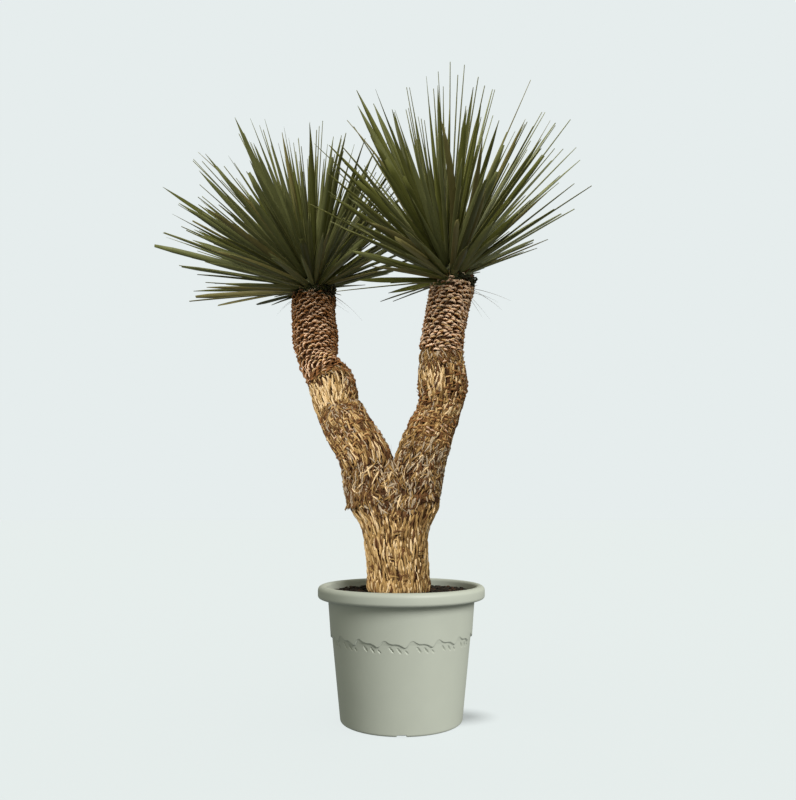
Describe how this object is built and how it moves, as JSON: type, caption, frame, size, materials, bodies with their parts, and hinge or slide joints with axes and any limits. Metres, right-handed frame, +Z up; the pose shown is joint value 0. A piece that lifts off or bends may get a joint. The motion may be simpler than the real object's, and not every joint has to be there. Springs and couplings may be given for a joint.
{
  "type": "potted beaked yucca",
  "caption": "Beaked yucca with a forked shaggy stem and round heads of stiff narrow leaves, planted in a round tapered pot with a rolled rim.",
  "frame": {"origin": "centre of the pot's flat underside", "axes": "+Z up along the pot's axis, +X to the right of the fork's front view, +Y away from the viewer"},
  "size_m": [1.3704, 1.1916, 1.9098],
  "materials": {
    "pot_plastic": "satin, sage green",
    "potting_soil": "matte, dark brown",
    "stem_bark": "fibrous, straw brown",
    "leaf_green": "satin, olive green"
  },
  "bodies": {
    "root": {"pot": "pot_plastic", "soil": "potting_soil", "trunk": "stem_bark", "left_bough": "stem_bark", "right_bough": "stem_bark", "left_lower_leaves": "leaf_green", "left_middle_leaves": "leaf_green", "left_upper_leaves": "leaf_green", "right_lower_leaves": "leaf_green", "right_middle_leaves": "leaf_green", "right_upper_leaves": "leaf_green"}
  },
  "joints": []
}
